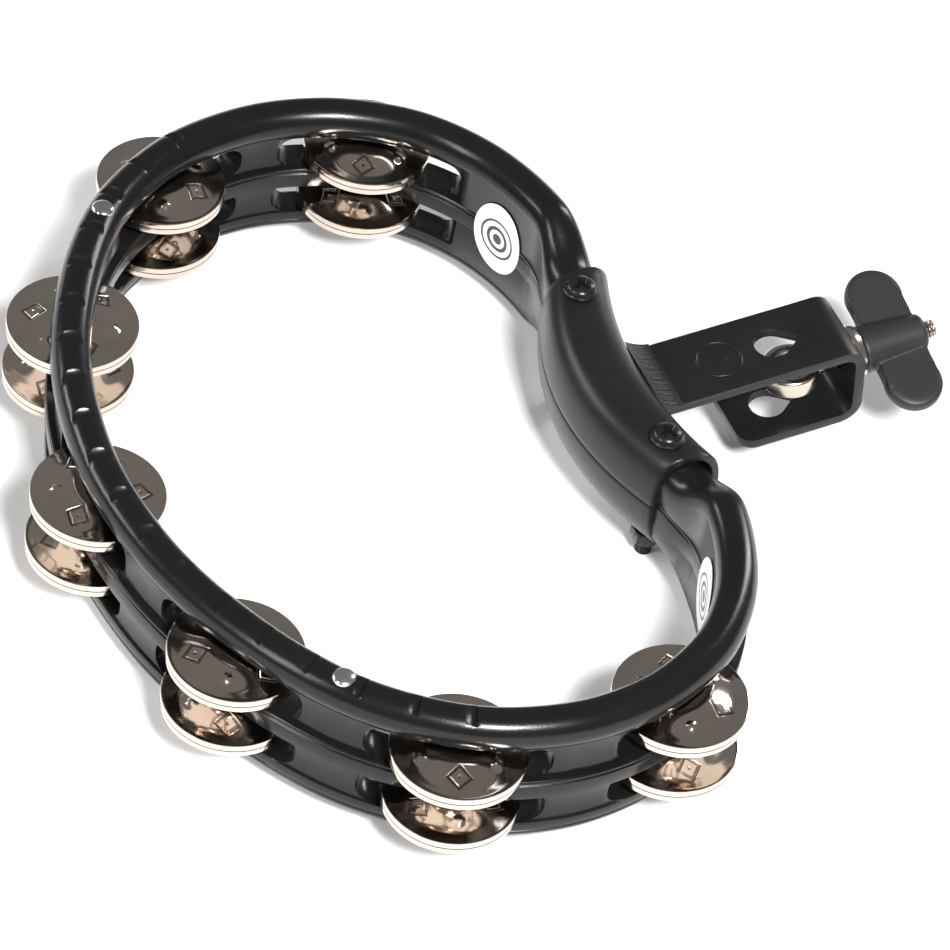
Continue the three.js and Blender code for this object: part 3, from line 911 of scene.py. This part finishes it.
    def build(self) -> None:
        """Makes every pin and disc."""
        self.nickel()
        (low, high), radius, chamfer = self.pin_ends, self.pin_radius, self.pin_chamfer
        profile = [(0, low), (radius - chamfer, low), (radius, low + chamfer), (radius, high - chamfer),
                   (radius - chamfer, high), (0, high)]
        middle = self.ring.end_station + 1
        for number in range(1, 2 * middle):
            point = PATH.at((number - middle) * self.ring.station_pitch)[0]
            pin = Maker.turned(f"pin_{number}", profile, 24, (point.x, point.y, 0))
            Maker.finished(pin, PIN_STEEL, stands_for=[f"jingle_pin_{number}"])
            for row_number, (row, height) in enumerate(self.ring.rows.items()):
                for up, word in ((1, "top"), (-1, "bottom")):
                    body = f"jingle_{number}_{row}_row_{word}"
                    counts = (number, row_number, up)
                    turn = math.radians(sum(step * count for step, count in zip(self.turn_steps, counts)))
                    made = self.disc(f"{body}_pressed_disc", point, height, up, turn)
                    Maker.finished(made, JINGLE_NICKEL, body, [f"{body}_disc"], smooth=28)


@dataclass
class HandleCover:
    """The two painted steel shells over the handle, with their screws and nuts."""

    half_length: float = 38.7
    top: float = 44.5
    bottom: float = 9.3
    end_x: tuple[float, float] = (148, 168.5)
    mid_x: tuple[float, float] = (138.6, 161.8)
    shoulder: float = 2.9
    belly: float = 2.3
    wall: float = 2.3
    screw_x: float = 154.3
    screw_y: float = 30
    screw_radius: float = 2.5
    thread_pitch: float = 0.8
    cross_turn: float = 0.4
    cross_size: tuple[float, float, float] = (6.6, 1.7, 2.4)
    cross_middle: float = 2.2
    cross_taper: float = 0.55
    nut_height: float = 4
    nut_across: float = 8
    nut_chamfer: float = 0.45
    nut_bore: float = 2.8
    columns: int = 96

    def outline(self, y: float, around: float, inset: float) -> Point:
        """Returns a place on the shell.

        Args:
            y: the place along the handle.
            around: how far round the section, from 0 to 1.
            inset: how far inside the outer face.

        Returns:
            The place.
        """
        share = (y / self.half_length) ** 2
        inner, outer = (a + (b - a) * share for a, b in zip(self.mid_x, self.end_x))
        angle = around * 2 * math.pi
        cosine, sine = math.cos(angle), math.sin(angle)
        above = sine >= 0
        power = self.shoulder if above else self.belly
        height = (self.top - PARTING if above else PARTING - self.bottom) - inset
        half = (outer - inner) / 2 - inset
        x = (inner + outer) / 2 + half * math.copysign(abs(cosine) ** (2 / power), cosine)
        return x, y, PARTING + height * math.copysign(abs(sine) ** (2 / power), sine)

    def build_shells(self) -> None:
        """Makes the whole cover as one open tube and parts it into its two shells."""
        length, wall, lip = self.half_length, self.wall, 0.6
        ends = [(-length, wall), (-length, 0.5), (-length + 0.18, 0.15), (-length + lip, 0)]
        middle = [(-length + lip + 2 * (length - lip) * i / 30, 0) for i in range(1, 30)]
        back = [(-y, inset) for y, inset in reversed(ends)]
        inside = [(length - 2 * length * i / 16, wall) for i in range(1, 16)]
        rows = [*ends, *middle, *back, *inside]
        count = len(rows)

        def form(across: float, along: float) -> Point:
            """Returns the shell's place for a point of the grid."""
            y, inset = rows[round(along * count) % count]
            return self.outline(y, across, inset)

        for half in Half:
            made = Maker.formed(f"{half.word}_cover_shell", self.columns, count, form)
            Maker.alone(made)
            bpy.ops.object.mode_set(mode="EDIT")
            bpy.ops.mesh.select_all(action="SELECT")
            level = Maker.place(0, 0, PARTING + half.value * GAP / 2)
            bpy.ops.mesh.bisect(plane_co=level, plane_no=(0, 0, 1), use_fill=True,
                                clear_inner=half is Half.UPPER, clear_outer=half is Half.LOWER)
            bpy.ops.mesh.select_all(action="SELECT")
            bpy.ops.mesh.normals_make_consistent(inside=False)
            bpy.ops.object.mode_set(mode="OBJECT")
            Maker.softened(made, 0.3, 2, 50)
            Maker.finished(made, COVER_PAINT, stands_for=[f"handle_cover_{half.word}"], smooth=40)

    def build_fasteners(self) -> None:
        """Makes the cross-head screws and their hexagon nuts."""
        for side in Side:
            centre = (self.screw_x, side.value * self.screw_y, 0)
            seat = self.top + GAP
            stem = self.screw_radius
            profile = [(0, seat - 3), (stem, seat - 3), (stem, seat), (4.9, seat), (5.0, seat + 0.3),
                       (5.0, seat + 0.7), (4.8, seat + 0.95), (4.35, seat + 1.05), (4.3, seat + 1.3),
                       (4.1, seat + 1.8), (3.5, seat + 2.35), (2.4, seat + 2.75), (1.2, seat + 2.88),
                       (0, seat + 2.9)]
            head = Maker.turned(f"screw_head_{side.word}", profile, 48, centre)
            for turn in (self.cross_turn, self.cross_turn + math.pi / 2):
                Maker.cut(head, self._cross_blade(centre, seat, turn))
            Maker.softened(head, 0.15, 2, 50)
            Maker.finished(head, SCREW_STEEL, smooth=35)
            tail = Threads.rod(f"screw_end_{side.word}", stem, 0, self.bottom + 2, self.thread_pitch, centre)
            Maker.finished(tail, SCREW_STEEL, stands_for=[f"cover_screw_{side.word}"], smooth=30)
            nut = self._nut(side, centre)
            Maker.finished(nut, SCREW_STEEL, stands_for=[f"cover_nut_{side.word}"], smooth=25)

    def _cross_blade(self, centre: Point, seat: float, turn: float) -> bpy.types.Object:
        """Makes one blade of the head's cross.

        Args:
            centre: the screw's axis.
            seat: the height of the head's underside.
            turn: the blade's direction in radians.

        Returns:
            The tool.
        """
        bpy.ops.object.select_all(action="DESELECT")
        bpy.ops.mesh.primitive_cube_add(size=MM)
        blade = bpy.context.active_object
        along = Vector((math.cos(turn), math.sin(turn)))
        across = Vector((-along.y, along.x))
        length, width, height = self.cross_size
        for vertex in blade.data.vertices:
            x, y, z = vertex.co / MM
            taper = 1 if z > 0 else self.cross_taper
            spot = along * (x * length * taper) + across * (y * width * taper)
            level = seat + self.cross_middle + z * height
            vertex.co = Maker.place(centre[0] + spot.x, centre[1] + spot.y, level)
        return blade

    def _nut(self, side: Side, centre: Point) -> bpy.types.Object:
        """Makes one chamfered hexagon nut.

        Args:
            side: the side it is on.
            centre: the screw's axis.

        Returns:
            The nut.
        """
        top, foot, chamfer = self.bottom - GAP, self.bottom - GAP - self.nut_height, self.nut_chamfer
        flat_half, corner, bore = self.nut_across / 2, self.nut_across / math.sqrt(3), self.nut_bore
        rows = [(bore, foot), (flat_half - 0.1, foot), (corner, foot + chamfer), (corner, top - chamfer),
                (flat_half - 0.1, top), (bore, top), (bore, foot)]
        columns = 48

        def form(across: float, along: float) -> Point:
            """Returns the nut's place for a point of the grid, its outer rows drawn to the six flats."""
            radius, z = rows[round(along * (len(rows) - 1))]
            angle = across * 2 * math.pi
            if radius > bore:
                flat = flat_half / math.cos((angle + math.pi / 6) % (math.pi / 3) - math.pi / 6)
                radius = min(flat, radius + 0.05) if radius < flat_half else flat
            return centre[0] + radius * math.cos(angle), centre[1] + radius * math.sin(angle), z

        return Maker.formed(f"screw_nut_{side.word}", columns, len(rows) - 1, form)


class Threads:
    """Screw threads."""

    columns = 32
    rows_a_turn = 6
    depth_share = 0.42
    end_slope = 0.9

    @classmethod
    def rod(cls, name: str, radius: float, start: float, end: float, pitch: float, centre: Point,
            lying: bool = False, arm: bool = False) -> bpy.types.Object:
        """Makes a rod with a helical thread and chamfered ends.

        Args:
            name: the piece's name.
            radius: the thread's outer radius.
            start: where the rod starts along its axis.
            end: where it ends.
            pitch: the thread's pitch.
            centre: the place of the axis's zero.
            lying: True where the axis runs along x.
            arm: True where the place is in the bracket's own tilted frame.

        Returns:
            The rod.
        """
        rows = round((end - start) / pitch * cls.rows_a_turn)
        depth = cls.depth_share * pitch

        def form(across: float, along: float) -> Point:
            """Returns the thread's place for a point of the grid."""
            row = round(along * (rows + 2)) - 1
            axial = start + (end - start) * min(max(row / rows, 0), 1)
            angle = across * 2 * math.pi
            phase = (axial / pitch - angle / (2 * math.pi)) % 1
            reach = radius - depth * abs(2 * phase - 1)
            from_end = min(axial - start, end - axial)
            reach = min(reach, radius - depth + from_end * cls.end_slope)
            if row < 0 or row > rows:
                reach = 0
            first, second = reach * math.cos(angle), reach * math.sin(angle)
            spot = (axial, first, second) if lying else (first, second, axial)
            return tuple(a + b for a, b in zip(centre, spot))

        return Maker.formed(name, cls.columns, rows + 2, form, arm)


@dataclass
class Clamp:
    """The folded bracket and the rod clamp in it, in the bracket's own tilted frame."""

    bolt_line: float = -14.2
    loop_end: float = 56.5
    eye_x: float = 39
    eye_outer: float = 8.3
    eye_inner: float = 5.3
    eye_height: float = 6.4
    eye_edge: float = 1.1
    shank: float = 3
    thread_pitch: float = 1
    shank_end: float = 84
    washer: float = 3.2
    hub_start: float = 60.3
    hub_end: float = 80.5
    lobe_x: float = 71.5
    lobe_out: float = 14.4
    lobe_radius: float = 8.5
    lobe_thick: float = 2.45
    web_thick: float = 2.4
    web_inset: float = 0.7
    wing_turn: float = math.radians(16)
    bore: float = 3.3
    stamp_x: float = 16
    weld_half_width: float = 12.6
    weld_reach: float = 7.6
    weld_rise: float = 4
    weld_hollow: float = 1.6
    origin = (169, 0, 36.3)

    @classmethod
    def place(cls, x: float, y: float, z: float) -> Vector:
        """Returns a point of the bracket's frame, in millimetres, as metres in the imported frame."""
        cosine, sine = math.cos(ARM_TILT), math.sin(ARM_TILT)
        return Maker.place(cls.origin[0] + x * cosine - z * sine, y, cls.origin[2] + x * sine + z * cosine)

    def build_bracket(self) -> None:
        """Rounds the edges of the folded strap and adds the stamped ring on its upper arm."""
        strap = Maker.copied("mounting_bracket", "folded_strap")
        Maker.softened(strap, 0.45, 3, 30)
        Maker.finished(strap, BRACKET_PAINT, stands_for=["mounting_bracket"], smooth=35)
        profile = [(5.9, -0.2), (6.9, -0.2), (6.8, 0.15), (6.6, 0.28), (6.2, 0.28), (6.0, 0.15), (5.9, -0.2)]
        middle = (self.stamp_x, 0, 0)
        stamp = Maker.turned("strap_stamped_ring", profile, 64, middle, arm=True)
        Maker.finished(stamp, BRACKET_PAINT)
        profile = [(0, -0.2), (2.4, -0.2), (2.3, 0.12), (1.9, 0.26), (0, 0.3)]
        dot = Maker.turned("strap_stamped_dot", profile, 40, middle, arm=True)
        Maker.finished(dot, BRACKET_PAINT)

    def build_weld(self) -> None:
        """Lays the rough weld bead between the upper arm and the cover."""
        rows, columns = 90, 24

        def form(across: float, along: float) -> Point:
            """Returns a place on the bead: over its hollow top and back along its underside."""
            row = round(along * (rows + 2)) - 1
            y = (min(max(row / rows, 0), 1) * 2 - 1) * self.weld_half_width
            column = round(across * columns) % columns
            share = min(column, columns - column) / (columns / 2)
            lap = math.sin(4.3 * y + 1.9 * math.sin(1.3 * y)) + 0.5 * math.sin(9.7 * y + 5 * share)
            rise = self.weld_rise * share ** 1.8 + (0.22 + 0.05 * lap) * math.sin(math.pi * share)
            if column > columns / 2:
                rise -= self.weld_hollow * math.sin(math.pi * share)
            if row < 0 or row > rows:
                return -self.weld_reach / 2, y, 0.2
            return -self.weld_reach * share, y, rise

        bead = Maker.formed("arm_weld_bead", columns, rows + 2, form, arm=True)
        Maker.finished(bead, WELD_PAINT, smooth=60)

    def build_eye_bolt(self) -> None:
        """Makes the eye with its threaded shank."""
        half, edge, steps = self.eye_height / 2, self.eye_edge, 6
        angles = [i / steps * math.pi / 2 for i in range(steps + 1)]
        sides = []
        for radius, way in ((self.eye_outer, 1), (self.eye_inner, -1)):
            inward, run = way * edge, half - edge
            lower = [(radius + inward * (math.sin(a) - 1), -run - edge * math.cos(a)) for a in angles]
            upper = [(radius + inward * (math.cos(a) - 1), run + edge * math.sin(a)) for a in angles]
            sides.append([*lower, *upper])
        outer, inner = sides
        profile = [*outer, *reversed(inner), outer[0]]
        eye = Maker.turned("bolt_eye", profile, 72, (self.eye_x, 0, self.bolt_line), arm=True)
        Maker.finished(eye, CLAMP_NICKEL, "eye_bolt", ["eye_bolt"])
        neck = Maker.turned("bolt_neck", [(0, -1), (3.4, -1), (3.2, 2), (3.0, 3.2), (2.7, 3.6), (0, 3.6)], 40,
                            (self.eye_x + self.eye_outer - 1, 0, self.bolt_line), lying=True, arm=True)
        Maker.finished(neck, CLAMP_NICKEL, "eye_bolt")
        shank = Threads.rod("bolt_thread", self.shank - 0.05, self.eye_x + self.eye_outer + 1, self.shank_end,
                            self.thread_pitch, (0, 0, self.bolt_line), lying=True, arm=True)
        Maker.finished(shank, CLAMP_NICKEL, "eye_bolt", smooth=30)

    def build_washer(self) -> None:
        """Makes the cone washer outside the loop."""
        start = self.loop_end + GAP
        end = start + self.washer
        profile = [(self.bore, start), (8.0, start), (8.2, start + 0.2), (8.2, start + 1.5),
                   (8.05, start + 1.8), (7.6, end - 0.2), (7.3, end), (self.bore, end), (self.bore, start)]
        washer = Maker.turned("clamp_cone_washer", profile, 56, (0, 0, self.bolt_line), lying=True, arm=True)
        Maker.finished(washer, CLAMP_NICKEL, stands_for=["cone_washer"])

    def winged(self, axial: float, y: float, z: float) -> Point:
        """Returns a place of the wing nut, laid out level and on its axis, at the nut's own turn.

        Args:
            axial: the place along the bolt.
            y: how far out it is along the wings.
            z: how far it is above their middle.

        Returns:
            The place in the bracket's frame.
        """
        cosine, sine = math.cos(self.wing_turn), math.sin(self.wing_turn)
        return axial, y * cosine - z * sine, self.bolt_line + y * sine + z * cosine

    def lobe(self, side: int) -> bpy.types.Object:
        """Makes one lobe of the wing nut, pinched between its rim and the hub.

        Args:
            side: 1 or -1, the way it points.

        Returns:
            The lobe.
        """
        def form(across: float, along: float) -> Point:
            """Returns a place on the lobe."""
            angle, fall = across * 2 * math.pi, along * math.pi
            spread = math.sin(fall) ** 0.22 if 0 < along < 1 else 0
            out = self.lobe_out + self.lobe_radius * math.cos(angle) * spread
            axial = self.lobe_x + self.lobe_radius * math.sin(angle) * spread
            thick = self.lobe_thick * math.copysign(abs(math.cos(fall)) ** 0.6, math.cos(fall))
            return self.winged(axial, side * out, thick)

        return Maker.formed(f"lobe_{side}", 56, 24, form, arm=True)

    def web(self) -> bpy.types.Object:
        """Makes the flat web that joins the two lobes through the hub.

        Returns:
            The web.
        """
        bpy.ops.object.select_all(action="DESELECT")
        bpy.ops.mesh.primitive_cube_add(size=2)
        web = bpy.context.active_object
        for vertex in web.data.vertices:
            x, y, z = vertex.co
            along = self.lobe_x + x * (self.lobe_radius - self.web_inset)
            vertex.co = self.place(*self.winged(along, y * self.lobe_out, z * self.web_thick))
        return web

    def build_wing_nut(self) -> None:
        """Joins hub, web and lobes into one moulded body with soft fillets."""
        start, end = self.hub_start, self.hub_end
        profile = [(0, start), (6.5, start), (7.0, start + 0.5), (6.8, start + 3), (5.6, end - 1),
                   (5.1, end - 0.2), (4.8, end), (0, end)]
        hub = Maker.turned("wing_nut_body", profile, 56, (0, 0, self.bolt_line), lying=True, arm=True)
        for tool in (self.web(), self.lobe(1), self.lobe(-1)):
            Maker.cut(hub, tool, "UNION")
        Maker.worked(hub, "REMESH", mode="VOXEL", voxel_size=0.32 * MM)
        Maker.worked(hub, "SMOOTH", factor=0.5, iterations=5)
        profile = [(0, start - 2), (self.bore, start - 2), (self.bore, end + 2), (0, end + 2)]
        bore = Maker.turned("bore", profile, 40, (0, 0, self.bolt_line), lying=True, arm=True)
        Maker.cut(hub, bore)
        Maker.finished(hub, KNOB_PLASTIC, "wing_nut", ["wing_nut"], smooth=50)


@dataclass
class Labels:
    """The two oval labels inside the ring, with a plain ring pattern."""

    ring: Ring
    arc: float = 248
    half_width: float = 10.2
    half_height: float = 12
    middle: float = PARTING - 1
    thickness: float = 0.3

    def emblem(self, side: Side, centre: Vector) -> bpy.types.Material:
        """Makes white vinyl with two dark rings round a dot.

        Args:
            side: the side it is for.
            centre: the label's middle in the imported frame.

        Returns:
            The material.
        """
        made = bpy.data.materials.new(f"label_vinyl_{side.word}")
        made.use_nodes = True
        nodes, links = made.node_tree.nodes, made.node_tree.links
        shader = nodes["Principled BSDF"]
        shader.inputs["Roughness"].default_value = 0.3
        place = nodes.new("ShaderNodeTexCoord")
        move = nodes.new("ShaderNodeVectorMath")
        move.operation = "SUBTRACT"
        move.inputs[1].default_value = centre
        length = nodes.new("ShaderNodeVectorMath")
        length.operation = "LENGTH"
        ramp = nodes.new("ShaderNodeValToRGB")
        ramp.color_ramp.interpolation = "CONSTANT"
        scale = nodes.new("ShaderNodeMath")
        scale.operation = "MULTIPLY"
        scale.inputs[1].default_value = 100
        links.new(place.outputs["Object"], move.inputs[0])
        links.new(move.outputs[0], length.inputs[0])
        links.new(length.outputs["Value"], scale.inputs[0])
        links.new(scale.outputs[0], ramp.inputs["Fac"])
        ink, white = (0.02, 0.02, 0.02, 1), (0.82, 0.83, 0.85, 1)
        ramp.color_ramp.elements[0].position = 0
        ramp.color_ramp.elements[0].color = ink
        ramp.color_ramp.elements[1].position = 0.17
        ramp.color_ramp.elements[1].color = white
        for at, colour in ((0.3, ink), (0.42, white), (0.58, ink), (0.66, white)):
            ramp.color_ramp.elements.new(at).color = colour
        links.new(ramp.outputs["Color"], shader.inputs["Base Color"])
        return made

    def build(self) -> None:
        """Makes both labels as thin ovals with sloped edges that follow the inner wall."""
        for side in Side:
            rings, columns = 10, 64
            reach = self.ring.wall_half(self.arc) + GAP

            def form(across: float, along: float) -> Point:
                """Returns a place on the label: its back, its edge and its face."""
                row = round(along * 2 * rings)
                share = min(row, 2 * rings - row) / rings
                angle = across * 2 * math.pi
                point, _, outward = PATH.at(side.value * self.arc + self.half_width * share * math.cos(angle))
                thick = self.thickness if row > rings else 0
                spot = point - outward * (reach + thick)
                return spot.x, spot.y, self.middle + self.half_height * share * math.sin(angle)

            made = Maker.formed(f"oval_label_{side.word}", columns, 2 * rings, form)
            point, _, outward = PATH.at(side.value * self.arc)
            spot = point - outward * (reach + self.thickness)
            Maker.alone(made)
            bpy.ops.object.shade_smooth_by_angle(angle=math.radians(30))
            made.data.materials.clear()
            made.data.materials.append(self.emblem(side, Maker.place(spot.x, spot.y, self.middle)))
            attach(made, "instrument")
            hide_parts(f"label_{side.word}")


@dataclass(frozen=True)
class Panel:
    """One soft panel light: where it stands from the object, its size in metres and its power in watts."""

    name: str
    toward: Point
    distance: float
    size: tuple[float, float]
    power: float

    def hang(self) -> None:
        """Hangs the light, facing the object."""
        data = bpy.data.lights.new(self.name, "AREA")
        data.shape = "RECTANGLE"
        data.size, data.size_y = self.size
        data.energy = self.power
        lamp = bpy.data.objects.new(self.name, data)
        bpy.context.collection.objects.link(lamp)
        way = Vector(self.toward).normalized()
        lamp.location = way * self.distance
        lamp.rotation_euler = (-way).to_track_quat("-Z", "Y").to_euler()


@dataclass
class Studio:
    """Floor, lights and camera, with the camera's place and axes in the ring's frame."""

    eye: Point = (-411.4, -897.7, 1057.3)
    right: Point = (0.9143, -0.3838, 0.1299)
    up: Point = (0.1932, 0.6946, 0.6930)
    forward: Point = (0.3561, 0.6085, -0.7092)
    lens: float = 200.2
    floor_size: float = 8
    air_strength: float = 0.2
    panels: tuple[Panel, ...] = (
        Panel("key_panel", (-0.1, -0.8, 1.0), 2.4, (0.5, 0.5), 105),
        Panel("back_left_panel", (-0.72, 0.62, 0.4), 1.6, (0.9, 0.22), 9),
        Panel("right_back_panel", (0.9, 0.35, 0.5), 1.7, (0.25, 0.8), 10),
        Panel("left_panel", (-1.0, -0.2, 0.7), 1.8, (0.25, 0.7), 10),
    )

    def camera(self) -> None:
        """Sets the camera at the object's three-quarter view from above."""
        data = bpy.data.cameras.new("studio_camera")
        data.lens = self.lens
        data.sensor_width = 36
        data.clip_end = 20
        seen = bpy.data.objects.new("studio_camera", data)
        bpy.context.collection.objects.link(seen)
        turn = Matrix((self.right, self.up, [-v for v in self.forward])).transposed()
        seen.matrix_world = Matrix.Translation(Maker.place(*self.eye)) @ turn.to_4x4()
        bpy.context.scene.camera = seen

    def build(self) -> None:
        """Sets up the floor, the room's light and the panels."""
        bpy.ops.object.select_all(action="DESELECT")
        bpy.ops.mesh.primitive_plane_add(size=self.floor_size)
        floor = bpy.context.active_object
        floor.name = "studio_floor"
        pale = bpy.data.materials.new("pale_floor")
        pale.use_nodes = True
        shader = pale.node_tree.nodes["Principled BSDF"]
        shader.inputs["Base Color"].default_value = (0.93, 0.93, 0.93, 1)
        shader.inputs["Roughness"].default_value = 1
        shader.inputs["Specular IOR Level"].default_value = 0
        floor.data.materials.append(pale)
        world = bpy.data.worlds.new("studio_air")
        world.use_nodes = True
        air = world.node_tree.nodes["Background"]
        air.inputs["Color"].default_value = (1, 1, 1, 1)
        air.inputs["Strength"].default_value = self.air_strength
        bpy.context.scene.world = world
        bpy.context.scene.view_settings.view_transform = "Standard"
        for panel in self.panels:
            panel.hang()
        self.camera()


def main() -> None:
    """Builds the instrument's pieces in order, then the studio."""
    logging.basicConfig(level=logging.INFO, format="%(message)s")
    ring = Ring()
    ring.build_rings()
    ring.build_rivets()
    Jingles(ring).build()
    cover = HandleCover()
    cover.build_shells()
    cover.build_fasteners()
    clamp = Clamp()
    clamp.build_bracket()
    clamp.build_weld()
    clamp.build_eye_bolt()
    clamp.build_washer()
    clamp.build_wing_nut()
    Labels(ring).build()
    Studio().build()


if __name__ == "__main__":
    main()
